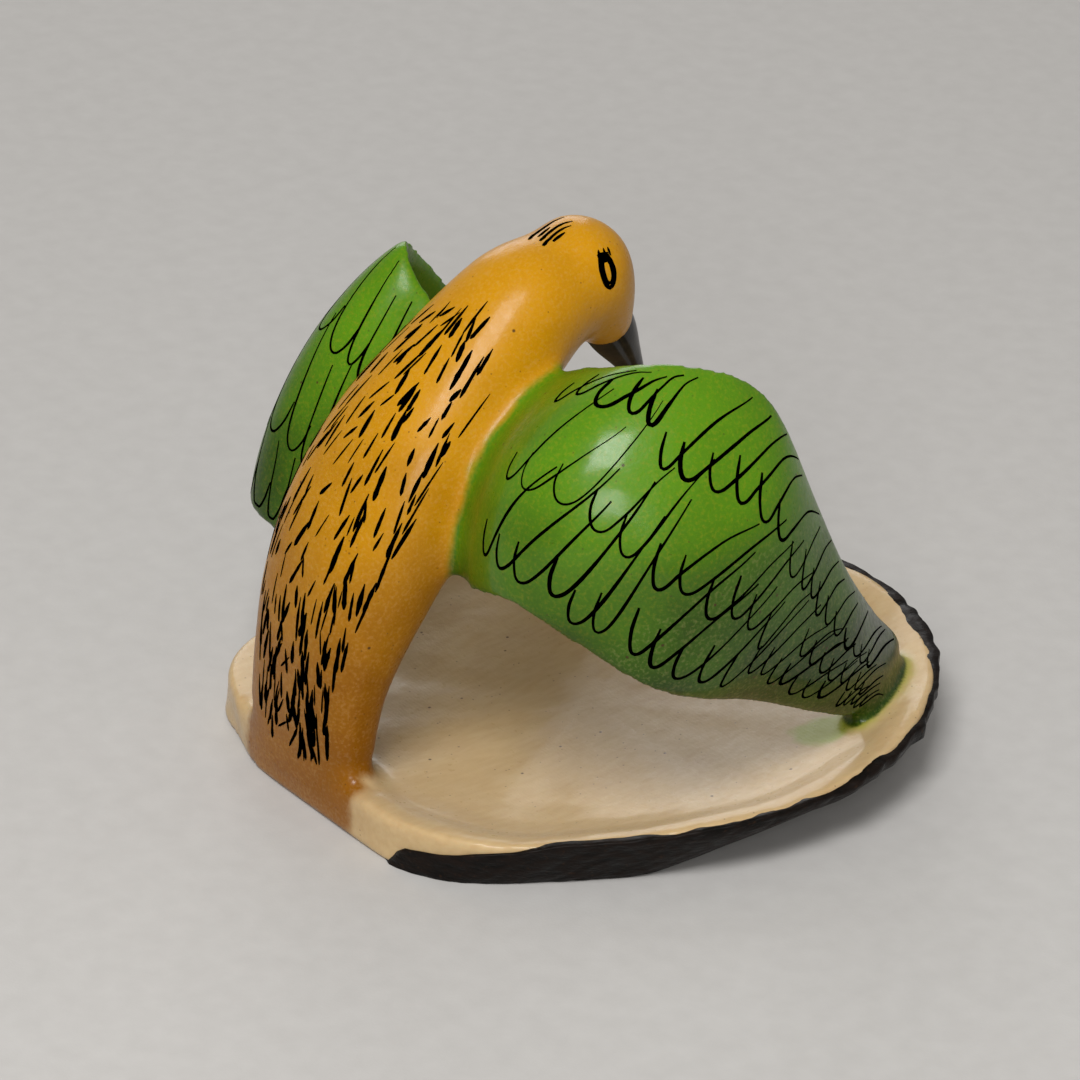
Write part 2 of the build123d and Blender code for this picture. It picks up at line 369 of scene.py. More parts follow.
def husk_rings(count=640):
    """The seed coat: a thin skin over the wall and underside, with a torn top edge."""
    outline = outline_points(RIM_POINTS, count)
    ground = outline_points(FOOT_POINTS, count)
    x, y = outline.T
    rim = RIM_HEIGHT + RIM_SLOPE * y - HUSK_BELOW_RIM
    ragged = 0.5 * flat_noise(outline, 0.35, 3.0) + 0.14 * flat_noise(outline, 1.1, 9.0)
    # It ends steeply at the right of the flat cut, and was scraped off beside the cut on the left.
    right = np.clip((y - HUSK_RIGHT_START) / HUSK_RIGHT_RUN, 0, 1)
    left = np.clip((y - HUSK_LEFT_START) / HUSK_LEFT_RUN, 0, 1)
    kept = np.where(x > 0, right, left)
    climb = np.clip((y - HUSK_CLIMB_START) / HUSK_CLIMB_RUN, 0, 1)
    top = HUSK_CUT_TOP + (rim - HUSK_CUT_TOP) * climb**0.8 + ragged * (0.2 + 0.3 * climb)
    top = np.minimum(top, rim + 0.12)
    top = 0.1 + (top - 0.1) * kept
    # Thick scabs of coat stand out at the front right.
    scab = np.clip((y - 2.0) / 6.0, 0, 1) * np.clip(x / 8.0, 0, 1)
    lumps = np.clip(flat_noise(outline, 0.6, 5.0) + 0.25, 0, 1)
    out = (HUSK_THICKNESS + 0.1 * ragged + HUSK_SCAB * scab * lumps) * kept - 0.6 * (1 - kept)
    sole = np.array((*DISH_CENTRE, 0.0))
    foot = wall_ring(outline, ground, 0.0, np.minimum(out, 0.1))
    rings = [sole + (foot - sole) * 0.3, sole + (foot - sole) * 0.96]
    for share in HUSK_LEVELS:
        swell = 0.09 * flat_noise(outline, 0.9, share * 5.0)
        rings.append(wall_ring(outline, ground, top * share, out + swell * kept))
    rings.append(wall_ring(outline, ground, top, out - 0.1))
    rings.append(wall_ring(outline, ground, top - 0.02, -HUSK_BACK))
    inside = np.array((0, 0, SOLE_THICKNESS))
    rings += [sole + (foot - sole) * size + inside for size in (0.9, 0.3)]
    return np.array(rings)


def beak_rings(count=34, around=40):
    """A short hooked cone with a ridge along its top and a groove between its halves."""
    root = HEAD_CENTRE + FORWARD * FACE_END
    angle = np.linspace(0, 2 * math.pi, around, endpoint=False)
    ridge = 1 + BEAK_RIDGE * np.clip(np.sin(angle), 0, 1) ** 8
    groove = np.exp(-((np.abs(np.cos(angle)) - 0.96) / 0.05) ** 2) * (np.sin(angle) < 0)
    mouth = 1 - BEAK_GROOVE * groove
    rings = []
    for along, sag, radius in through(BEAK_SECTIONS, count):
        centre = root + FORWARD * along - OVER * sag
        width = radius * mouth * np.cos(angle) * 0.95
        height = radius * ridge * np.sin(angle) * 1.05
        rings.append(centre + width[:, None] * RIGHTWARD + height[:, None] * OVER)
    return np.array(rings)


# ---- Meshes ----


def new_object(name, verts, faces):
    mesh = bpy.data.meshes.new(name)
    mesh.from_pydata([tuple(v) for v in verts], [], [tuple(f) for f in faces])
    mesh.update()
    piece = bpy.data.objects.new(name, mesh)
    bpy.context.scene.collection.objects.link(piece)
    return piece


def union_of(parts, voxel):
    """One skin over several closed meshes."""
    verts, faces = [], []
    for part_verts, part_faces in parts:
        start = len(verts)
        verts += list(part_verts)
        faces += [tuple(start + i for i in face) for face in part_faces]
    piece = new_object("union_work", verts, faces)
    bm = bmesh.new()
    bm.from_mesh(piece.data)
    bmesh.ops.recalc_face_normals(bm, faces=bm.faces)
    bm.to_mesh(piece.data)
    bm.free()
    skin = piece.modifiers.new("skin", "REMESH")
    skin.mode = "VOXEL"
    skin.voxel_size = voxel
    seen = piece.evaluated_get(bpy.context.evaluated_depsgraph_get()).to_mesh()
    points = np.empty(len(seen.vertices) * 3)
    seen.vertices.foreach_get("co", points)
    polygons = [tuple(p.vertices) for p in seen.polygons]
    bpy.data.objects.remove(piece)
    return points.reshape(-1, 3), polygons


def as_quads(polygons):
    """Triangles repeat their last corner."""
    return np.array([p if len(p) == 4 else p + (p[-1],) for p in polygons])


def edge_array(polygons):
    quads = as_quads(polygons)
    edges = np.concatenate([quads[:, [i, (i + 1) % 4]] for i in range(4)])
    edges = edges[edges[:, 0] != edges[:, 1]]
    return np.unique(np.sort(edges, axis=1), axis=0)


def relax(points, edges, weight, rounds):
    """Pull each point towards its neighbours' middle, by its own weight."""
    a, b = edges[:, 0], edges[:, 1]
    count = len(points)
    degree = np.bincount(a, minlength=count) + np.bincount(b, minlength=count)
    for _ in range(rounds):
        middle = np.stack([
            np.bincount(a, points[b, i], count) + np.bincount(b, points[a, i], count) for i in range(3)
        ], axis=1) / degree[:, None]
        points = points + (middle - points) * weight[:, None]
    return points


def spread(values, edges, rounds):
    """Blur a value over the skin."""
    return relax(values[:, None] * np.ones((1, 3)), edges, np.full(len(values), 0.5), rounds)[:, 0]


def soft_step(values, low, high):
    share = np.clip((values - low) / (high - low), 0, 1)
    return share * share * (3 - 2 * share)


def skin_normals(points, polygons):
    quads = as_quads(polygons)
    a, b, c, d = (points[quads[:, i]] for i in range(4))
    across = np.cross(c - a, d - b)
    normals = np.zeros_like(points)
    for i in range(4):
        np.add.at(normals, quads[:, i], across)
    return unit(normals)


body_tube = tube(body_rings())
head_tube = tube(head_rings())
right_tube = tube(wing_rings(RIGHT_WING, 1))
left_tube = tube(wing_rings(LEFT_WING, -1))
dish_tube = tube(dish_shell())
sources = [dish_tube, body_tube, head_tube, right_tube, left_tube]
DISH, BODY, HEAD, RIGHT, LEFT = range(5)
STEP_ROUNDS, EDGE_ROUNDS, HOLLOW_ROUNDS = 9, 6, 85
PUSH = 1.04
FLAT_BELOW, FLAT_FADE = 0.4, 1.5  # heights

points, polygons = union_of(sources, VOXEL)
edges = edge_array(polygons)
everywhere = np.full(len(points), 0.5)
# Each pull is followed by a slightly stronger push, which takes the voxels' steps out and keeps
# the size.
for _ in range(STEP_ROUNDS):
    points = relax(points, edges, everywhere, 1)
    points = relax(points, edges, -PUSH * everywhere, 1)
# The flat underside stays flat.
above = np.clip((points[:, 2] - FLAT_BELOW) / FLAT_FADE, 0, 1)
points = relax(points, edges, 0.5 * above, EDGE_ROUNDS)

trees = [BVHTree.FromPolygons([tuple(v) for v in verts], faces) for verts, faces in sources]
gap = np.array([[tree.find_nearest(p)[3] for tree in trees] for p in points])
# Where two solids meet, the carver left a soft hollow. How wide it is differs with the pair.
REACH = {
    (BODY, HEAD): 2.4,
    (BODY, RIGHT): 3.0,
    (BODY, LEFT): 2.6,
    (DISH, BODY): 2.0,
    (DISH, RIGHT): 1.6,
    (DISH, LEFT): 1.6,
    (HEAD, RIGHT): 1.2,
    (HEAD, LEFT): 1.2,
}
near = np.zeros(len(points))
for (one, two), width in REACH.items():
    near = np.maximum(near, np.clip(1.15 - np.maximum(gap[:, one], gap[:, two]) / width, 0, 1))
near = np.clip(near, 0, 1) * above
points = relax(points, edges, 0.6 * near, HOLLOW_ROUNDS)
normals = skin_normals(points, polygons)
skin_tree = BVHTree.FromPolygons([tuple(v) for v in points], polygons)

# ---- Where the dyes lie, where painted shade darkens them, and which part each point of the skin belongs to ----


def drift(scale, seed):
    """Smooth noise over the skin, for borders that wander."""
    return np.array([
        noise.noise(Vector((px * scale, py * scale, pz * scale + seed))) for px, py, pz in points
    ])


FOOT_X, FOOT_Y = -5.6, -19.0  # middle and front of the yellow that runs over the flat cut
FOOT_HALF, FOOT_LOBE = 7.3, 1.5  # how far it goes to each side, and further right on the rim
WING_SHADE_FADE = (11.0, 36.0)  # heights between which the painted shade on the green and the yellow goes from full to none
BODY_SHADE_FADE = (4.0, 33.0)

x, y, z = points.T
bird_gap = np.minimum(gap[:, BODY], gap[:, HEAD])
wing_gap = np.minimum(gap[:, RIGHT], gap[:, LEFT])
wander = drift(0.5, 0.0) + 0.5 * drift(1.7, 20.0)
green = soft_step(bird_gap - wing_gap + 0.5 * wander, -0.7, 0.8)
on_dish = gap[:, DISH] < np.minimum(bird_gap, wing_gap) + 0.1
green *= soft_step(gap[:, DISH] - wing_gap + 0.2 * wander, -0.45, 0.0)
yellow = soft_step(gap[:, DISH] - bird_gap + 0.5 * wander, -0.6, 0.7)
# Under the tail the yellow runs on over the flat cut, almost to the ground.
reach = FOOT_HALF + FOOT_LOBE * soft_step(z, 3.0, 4.6) * (x > 0)
beside = np.abs(x - FOOT_X)
foot = soft_step(reach + 0.6 * wander - beside, 0.0, 1.4) * soft_step(FOOT_Y - y, 0.0, 1.0)
yellow = np.maximum(yellow, foot * (0.86 + 0.14 * soft_step(z, 0.0, 2.0)))
# Green that bled out of the wing tips into the kernel.
fringe = np.exp(-((wing_gap + 0.3 * wander) / 0.75) ** 2)
run = np.hypot(x - BLEED[0], y - BLEED[1]) + 0.8 * wander
fringe = np.maximum(fringe, 1 - soft_step(run, 1.2, 2.6)) * on_dish
# Painted shade: the dyes are made darker low down, where less light falls, fading out between the
# heights above.
height = z + 2.5 * drift(0.15, 40.0)
clear = np.where(wing_gap < bird_gap, soft_step(height, *WING_SHADE_FADE), soft_step(height, *BODY_SHADE_FADE))
low = spread(1 - clear, edges, 8)
# Yellow, green, bled-out green, and painted shade low down.
dye_and_shade = np.column_stack([yellow, green, fringe, low])

# Each point belongs to the part that it lies on, with the borders between parts evened out.
KERNEL, BIRD, RIGHT_PART, LEFT_PART = range(4)
belongs = [
    spread(np.exp(-distance / 0.25), edges, 6)
    for distance in (gap[:, DISH], bird_gap, gap[:, RIGHT], gap[:, LEFT])
]
label = np.argmax(belongs, axis=0)


def openings(faces, count):
    """Fans that close every opening of a mesh, and each opening's rim. The fans' middles are
    numbered from count."""
    sides = {side for face in faces for side in zip(face, face[1:] + face[:1])}
    rim = sorted((a, b) for a, b in sides if (b, a) not in sides)
    linked = {a: a for side in rim for a in side}

    def head_of(a):
        while linked[a] != a:
            a = linked[a]
        return a

    for a, b in rim:
        linked[head_of(a)] = head_of(b)
    hubs = {}
    fans = []
    for a, b in rim:
        hub, members = hubs.setdefault(head_of(a), (count + len(hubs), []))
        members.append(a)
        fans.append((b, a, hub))
    return fans, [members for hub, members in hubs.values()]


def skin_piece(name, number, node):
    """Cut one part of the bird out of the skin, as a closed piece with the skin's own shading."""
    kept = [p for p in polygons if np.bincount(label[list(p)]).argmax() == number]
    used = np.unique(np.concatenate([np.array(p) for p in kept]))
    place = np.full(len(points), -1)
    place[used] = np.arange(len(used))
    faces = [tuple(int(i) for i in place[list(p)]) for p in kept]
    fans, rims = openings(faces, len(used))
    # Per vertex: place, normal, and the dyes with their painted shade. The middle of each opening
    # takes the mean of its rim.
    rows = np.column_stack([points[used], normals[used], dye_and_shade[used]])
    rows = np.vstack([rows] + [rows[rim].mean(0) for rim in rims])
    piece = new_object(name, rows[:, :3] * MM, faces + fans)
    mesh = piece.data
    colours = mesh.color_attributes.new("dye_and_shade", "FLOAT_COLOR", "POINT")
    colours.data.foreach_set("color", rows[:, 6:].astype(np.float32).ravel())
    mesh.shade_smooth()
    mesh.normals_split_custom_set_from_vertices([tuple(n) for n in rows[:, 3:6]])
    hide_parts(node)
    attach(piece, "root")
    return piece


def plain_piece(name, rings, node):
    """A closed piece straight from its rings."""
    verts, faces = tube(rings)
    piece = new_object(name, verts * MM, faces)
    bm = bmesh.new()
    bm.from_mesh(piece.data)
    bmesh.ops.recalc_face_normals(bm, faces=bm.faces)
    bm.to_mesh(piece.data)
    bm.free()
    piece.data.shade_smooth()
    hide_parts(node)
    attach(piece, "root")
    return piece


dish = skin_piece("dish_kernel", KERNEL, "base_dish")
bird = skin_piece("bird_carving", BIRD, "bird_body")
right_wing = skin_piece("right_wing_carving", RIGHT_PART, "right_wing")
left_wing = skin_piece("left_wing_carving", LEFT_PART, "left_wing")
husk = plain_piece("seed_coat", husk_rings(), "husk_skin")
beak = plain_piece("beak_carving", beak_rings(), "beak")

# ---- Pen drawing: flat ribbons of ink that lie on the skin ----

INK_STEP = 0.22  # between the points of a stroke
INK_PROUD = 0.02
# A ribbon's section: shares of its half width, and of how proud it stands
RIBBON = ((-1, -0.5), (-0.75, 1), (0.75, 1), (1, -0.5), (0, -2))
CORNERS = len(RIBBON)
BENDS = 5  # places along a stroke where the pen's pressure changes


class Ink:
    """Strokes gathered into one piece."""

    def __init__(self):
        self.verts = []
        self.normals = []
        self.faces = []

    def stroke(self, path, width, start=0.55, end=0.3, fade=2.2):
        """Lay a ribbon along a path near the skin. start and end are the shares of its width
        there, and fade is how fast it narrows to its end."""
        path = np.asarray(path, float)
        length = distances(path)
        count = max(4, int(length[-1] / INK_STEP))
        even = np.linspace(0, length[-1], count)
        path = np.stack([np.interp(even, length, path[:, i]) for i in range(3)], axis=1)
        hits = [skin_tree.find_nearest(Vector(p)) for p in path]
        spots = np.array([hit[0] for hit in hits])
        up = np.array([hit[1] for hit in hits])
        for _ in range(2):
            up[1:-1] = unit(up[:-2] + up[1:-1] + up[2:])
        ahead = unit(np.gradient(spots, axis=0) + 1e-9)
        side = unit(np.cross(up, ahead))
        share = even / length[-1]
        taper = np.minimum(start + share * 5, np.minimum(1, end + (1 - share) * fade))
        pressure = np.interp(share * BENDS, range(BENDS + 1), rng.uniform(-1, 1, BENDS + 1))
        half = width / 2 * taper * (1 + 0.2 * pressure + 0.06 * rng.uniform(-1, 1, count))
        first = len(self.verts)
        for spot, n, s, h in zip(spots, up, side, half):
            for over, rise in RIBBON:
                self.verts.append(spot + s * h * over + n * INK_PROUD * rise)
                self.normals.append(tuple(n))
        for i in range(count - 1):
            a = first + i * CORNERS
            for k in range(CORNERS):
                n = (k + 1) % CORNERS
                self.faces.append((a + k, a + n, a + CORNERS + n, a + CORNERS + k))
        last = first + (count - 1) * CORNERS
        self.faces.append(tuple(range(first, first + CORNERS))[::-1])
        self.faces.append(tuple(range(last, last + CORNERS)))

    def piece(self, name):
        piece = new_object(name, np.array(self.verts) * MM, self.faces)
        piece.data.shade_smooth()
        # Ink is flat on the skin, so it takes the skin's shading.
        piece.data.normals_split_custom_set_from_vertices(self.normals)
        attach(piece, "root")
        return piece


def wing_place(sections, outward):
    """A function from shares of the span and of the chord to a place on the wing's outer side."""
    count = 160
    upper, chord, normal, bulge = wing_frame(sections, outward, count)
    middle = upper + chord / 2
    length = distances(middle)
    rows = np.column_stack([upper, chord, normal, bulge])

    def place(span, share):
        at = np.interp(span, length / length[-1], np.arange(count))
        row = np.array([np.interp(at, np.arange(count), column) for column in rows.T])
        share = min(max(share, 0.02), 0.98)
        return row[:3] + row[3:6] * share + row[6:9] * (4 * row[9] * share * (1 - share) + WING_HALF)

    return place


# Rows of drawn feathers: span at the start and end, chord at the start and end, number of
# feathers, how far their long sides climb the chord, how much they lean to the tip as they
# climb, and the pen's width.
RIGHT_ROWS = [
    (0.19, 0.33, 0.19, 0.22, 5, 0.19, 0.20, 0.32),
    (0.34, 0.53, 0.32, 0.42, 6, 0.34, 0.26, 0.29),
    (0.54, 0.86, 0.46, 0.54, 10, 0.42, 0.16, 0.26),
    (0.21, 0.29, 0.58, 0.62, 3, 0.42, 0.06, 0.22),
    (0.29, 0.37, 0.60, 0.66, 2, 0.34, 0.12, 0.21),
    (0.38, 0.56, 0.68, 0.76, 6, 0.38, 0.20, 0.27),
    (0.21, 0.36, 0.88, 0.96, 6, 0.46, 0.07, 0.29),
    (0.38, 0.54, 0.95, 0.94, 5, 0.44, 0.14, 0.27),
    (0.55, 0.76, 0.88, 0.92, 7, 0.42, 0.18, 0.27),
    (0.64, 0.88, 0.72, 0.78, 8, 0.30, 0.16, 0.24),
    (0.80, 0.92, 0.92, 0.90, 5, 0.26, 0.14, 0.22),
]
LEFT_ROWS = [
    (0.12, 0.50, 0.36, 0.40, 12, 0.35, 0.04, 0.24),
    (0.52, 0.88, 0.42, 0.52, 11, 0.38, 0.14, 0.24),
    (0.14, 0.54, 0.73, 0.76, 13, 0.38, 0.04, 0.26),
    (0.56, 0.90, 0.74, 0.80, 11, 0.30, 0.14, 0.24),
    (0.16, 0.56, 0.98, 0.96, 13, 0.26, 0.04, 0.24),
    (0.58, 0.92, 0.93, 0.90, 11, 0.24, 0.14, 0.22),
]
FEATHER_DEPTH = 0.13  # of a drawn feather's round end, as a share of the chord


def feather(place, ink, span, share, gape, climb, lean, width):
    """One drawn feather: a short side, a round bottom and a long side up the chord."""
    lean = lean * climb * rng.uniform(0.8, 1.2)
    depth = FEATHER_DEPTH * rng.uniform(0.85, 1.15)
    climb = max(climb, depth * 1.2)
    corners = [
        (span - gape * 0.50, share - depth),
        (span - gape * 0.46, share - depth * 0.45),
        (span - gape * 0.22, share - depth * 0.04),
        (span + gape * 0.12, share - depth * 0.08),
        (span + gape * 0.38 + lean * 0.08, share - depth * 0.6),
        (span + gape * 0.52 + lean * 0.45, share - depth - (climb - depth) * 0.42),
        (span + gape * 0.55 + lean, share - climb),
    ]
    ink.stroke([place(u, v) for u, v in through(corners, 30)], width, start=0.6, end=0.45, fade=1.0)


def feather_rows(sections, outward, rows):
    """The ink on one wing: rows of feathers, each a little different."""
    place = wing_place(sections, outward)
    ink = Ink()
    for first, last, share_first, share_last, count, climb, lean, width in rows:
        pitch = (last - first) / count
        for i in range(count):
            f = (i + 0.5) / count
            span = first + (last - first) * f + rng.uniform(-0.12, 0.12) * pitch
            share = share_first + (share_last - share_first) * f + rng.uniform(-0.025, 0.025)
            reach = min(climb * rng.uniform(0.8, 1.15), share - 0.02)
            gape = pitch * rng.uniform(0.85, 1.05)
            feather(place, ink, span, share, gape, reach, lean, width * rng.uniform(0.75, 1.1))
    return ink


def back_place():
    """A function from a share of the body's length and an angle round it to a place on it."""
    around = 72
    rings = body_rings(160, around)
    middle = rings.mean(1)
    length = distances(middle)
    length /= length[-1]

    def place(along, degrees):
        at = np.interp(along, length, np.arange(len(rings)))
        i = min(int(at), len(rings) - 2)
        ring = rings[i] + (rings[i + 1] - rings[i]) * (at - i)
        turn = (degrees / (360 / around)) % around
        k = int(turn)
        return ring[k] + (ring[(k + 1) % around] - ring[k]) * (turn - k)

    return place


SPINE = 276.0  # degrees round the body of the middle of the drawn field
FIELD_HALF = 54.0  # degrees from there to its borders, where it is widest
FIELD_END = 0.88  # share of the body's length where it closes at the neck
FIELD_ROWS, FIELD_COLUMNS = 20, 11
FIELD_GAPS = 0.18  # share of the field's dashes that are left out
BORDER_STROKES, TAIL_STROKES = 14, 38


def back_marks():
    """A leaf-shaped field of dashes down the bird's back, closing up towards the tail."""
    place = back_place()
    ink = Ink()

    def border(along):
        opening = math.sin(math.pi * min(0.5, 0.06 + 0.8 * along))
        return FIELD_HALF * opening * min(1, (FIELD_END - along) / 0.14)

    def dash(along, angle, size, width, lean):
        path = [place(along + size * f, angle + lean * f) for f in (0, 0.25, 0.5, 0.75, 1)]
        ink.stroke(path, width, start=0.35, end=0.25)

    for row in range(FIELD_ROWS):
        along = 0.07 + 0.74 * row / (FIELD_ROWS - 1)
        for column in range(FIELD_COLUMNS):
            off = (column + 0.5) / FIELD_COLUMNS * 2 - 1
            if rng.uniform() < FIELD_GAPS:
                continue
            angle = SPINE + off * border(along) + rng.uniform(-4, 4)
            size = rng.uniform(0.025, 0.062)
            here = along + rng.uniform(-0.018, 0.018)
            width = rng.uniform(0.15, 0.42)
            dash(here, angle, size, width, rng.uniform(-3, 5) - 4 * off)
    # Long strokes down both borders, and the thick marks that gather over the tail.
    for side in (-1, 1):
        for i in range(BORDER_STROKES):
            here = 0.08 + 0.05 * i + rng.uniform(-0.015, 0.015)
            angle = SPINE + side * (border(here + 0.03) + rng.uniform(-2, 2))
            size = rng.uniform(0.05, 0.09)
            width = rng.uniform(0.16, 0.34)
            dash(here, angle, size, width, rng.uniform(-4, 4) * side)
    for i in range(TAIL_STROKES):
        here = rng.uniform(0.055, 0.3)
        angle = SPINE + rng.normal(0, 9 + 50 * here)
        dash(here, angle, rng.uniform(0.035, 0.075), rng.uniform(0.24, 0.5), rng.uniform(-2, 5))
    return ink


EYE_TALL, EYE_WIDE = 1.25, 0.5  # half sizes of an eye's outer ring
EYE_OUT, EYE_LIFT = 0.916, 0.40  # sideways and upward parts of where an eye faces
EYE_RINGS = ((1.0, 0.36), (0.72, 0.3))  # size and pen width
LID_STROKES = 5
LASHES = (-0.35, 0.15, 0.6)  # places across the eye, above its ring
TEARS = ((-0.2, -0.7), (0.2, -0.85), (0.0, -1.0))  # places across and up, at its lower end
# Strokes on the crown: place across, and where each starts and ends from back to front
CROWN_STROKES = (
    (-1.3, -1.9, 1.5),
    (-0.6, -1.2, 0.0),
    (-0.1, -1.5, 1.4),
    (0.5, -1.7, 1.0),
    (1.0, -0.9, 0.2),
)


def eye_marks():
    """Both eyes, each an upright ring of pen strokes, and the few strokes on the crown."""
    ink = Ink()
    for mirror in (1, -1):
        facing = unit(np.array((EYE_OUT * mirror, 0.03, EYE_LIFT)))
        tall = unit(np.array((-EYE_LIFT * mirror, 0.0, EYE_OUT)))
        wide = np.cross(tall, facing)
        middle = HEAD_CENTRE + facing * HEAD_RADIUS

        def spot(up, along):
            return middle + tall * up + wide * along

        for size, width in EYE_RINGS:
            turns = np.linspace(0, 2.15 * math.pi, 26) + rng.uniform(0, 1)
            ring = [
                spot(EYE_TALL * size * math.sin(turn), EYE_WIDE * size * math.cos(turn))
                for turn in turns
            ]
            ink.stroke(ring, width, start=0.8, end=0.8)
        for i in range(LID_STROKES):
            ink.stroke([spot(0.75 + 0.13 * i, along) for along in (-0.5, 0, 0.5)], 0.3)
        for lash in LASHES:
            ink.stroke([spot(up, lash + 0.15 * (up - 1)) for up in (1.0, 1.3, 1.7)], 0.22)
        for along, up in TEARS:
            ink.stroke([spot(up - 0.3 * f, along + 0.1 * f) for f in (0, 0.5, 1)], 0.3)
    crown = HEAD_CENTRE + HEAD_RADIUS * np.array((-0.087, -0.373, 0.924))
    for across, back, front in CROWN_STROKES:
        path = [
            crown + np.array((across + 0.25 * f * f, f, 0.25 - 0.05 * f))
            for f in np.linspace(back, front, 6)
        ]
        ink.stroke(path, rng.uniform(0.26, 0.4))
    return ink


drawings = [
    feather_rows(RIGHT_WING, 1, RIGHT_ROWS).piece("ink_right_wing"),
    feather_rows(LEFT_WING, -1, LEFT_ROWS).piece("ink_left_wing"),
    back_marks().piece("ink_back"),
    eye_marks().piece("ink_head"),
]

# ---- Materials ----

SPECK_LEVEL = 0.68  # cells above it have a speck


class Paint:
    """Short calls for building one material's nodes. Scales are in turns per millimetre."""

    def __init__(self, name):
        self.material = bpy.data.materials.new(name)
        self.material.use_nodes = True
        self.tree = self.material.node_tree
        self.tree.nodes.clear()
        self.where = self.node("TexCoord").outputs["Object"]

    def put(self, socket, value):
        if isinstance(value, bpy.types.NodeSocket):
            self.tree.links.new(value, socket)
        else:
            socket.default_value = value

    def node(self, kind, inputs=None, **settings):
        node = self.tree.nodes.new("ShaderNode" + kind)
        for key, value in settings.items():
            setattr(node, key, value)
        for key, value in (inputs or {}).items():
            self.put(node.inputs[key], value)
        return node

    def math(self, operation, *values):
        return self.node("Math", dict(enumerate(values)), operation=operation).outputs[0]

    def stretched(self, scale):
        return self.node("Mapping", {"Vector": self.where, "Scale": scale}).outputs[0]

    def noise(self, scale, detail=4.0, where=None):
        inputs = {"Vector": where or self.where, "Scale": scale / MM, "Detail": detail}
        return self.node("TexNoise", inputs).outputs["Fac"]

    def specks(self, scale, size):
        """One where a speck is, for about one cell in three, and zero elsewhere."""
        cells = self.node("TexVoronoi", {"Vector": self.where, "Scale": scale / MM})
        chance = self.node("SeparateColor", {"Color": cells.outputs["Color"]}).outputs[0]
        some = self.math("GREATER_THAN", chance, SPECK_LEVEL)
        return self.math("MULTIPLY", some, self.span(cells.outputs["Distance"], size, size * 0.5))

    def span(self, value, low, high, out_low=0.0, out_high=1.0):
        inputs = {"Value": value, "From Min": low, "From Max": high}
        inputs |= {"To Min": out_low, "To Max": out_high}
        return self.node("MapRange", inputs).outputs[0]

    def mix(self, amount, one, two):
        node = self.node("Mix", data_type="RGBA")
        for place, value in ((0, amount), (6, one), (7, two)):
            self.put(node.inputs[place], value)
        return node.outputs[2]

    def bump(self, height, depth, below=None):
        """Relief of a given depth in millimetres."""
        inputs = {"Height": height, "Distance": depth * MM, "Strength": 1.0}
        if below:
            inputs["Normal"] = below
        return self.node("Bump", inputs).outputs[0]

    def finish(self, **inputs):
        names = {key.replace("_", " "): value for key, value in inputs.items()}
        shader = self.node("BsdfPrincipled", names)
        output = self.node("OutputMaterial")
        self.tree.links.new(shader.outputs[0], output.inputs["Surface"])
        return self.material


CREAM = (0.55, 0.38, 0.19, 1)
CREAM_PALE = (0.59, 0.425, 0.22, 1)
CREAM_STAIN = (0.40, 0.23, 0.09, 1)
YELLOW = (0.57, 0.26, 0.002, 1)
# OCHRE and OLIVE are the darker yellow and green, used for painted shade low down and for random
# deeper tone.
OCHRE = (0.25, 0.088, 0.0008, 1)
GREEN = (0.095, 0.245, 0.003, 1)
OLIVE = (0.021, 0.050, 0.0015, 1)
LIME = (0.34, 0.37, 0.015, 1)
SPECK = (0.05, 0.02, 0.006, 1)
HUSK_DARK = (0.002, 0.0014, 0.001, 1)
HUSK_BROWN = (0.010, 0.005, 0.003, 1)
HUSK_WORN = (0.045, 0.02, 0.008, 1)
BEAK_BLACK = (0.006, 0.005, 0.004, 1)
BEAK_BROWN = (0.034, 0.023, 0.013, 1)
INK_BLACK = (0.004, 0.004, 0.004, 1)
INK_THIN = (0.03, 0.022, 0.012, 1)
FLOOR_DARK = (0.53, 0.515, 0.495, 1)
FLOOR_PALE = (0.56, 0.545, 0.525, 1)


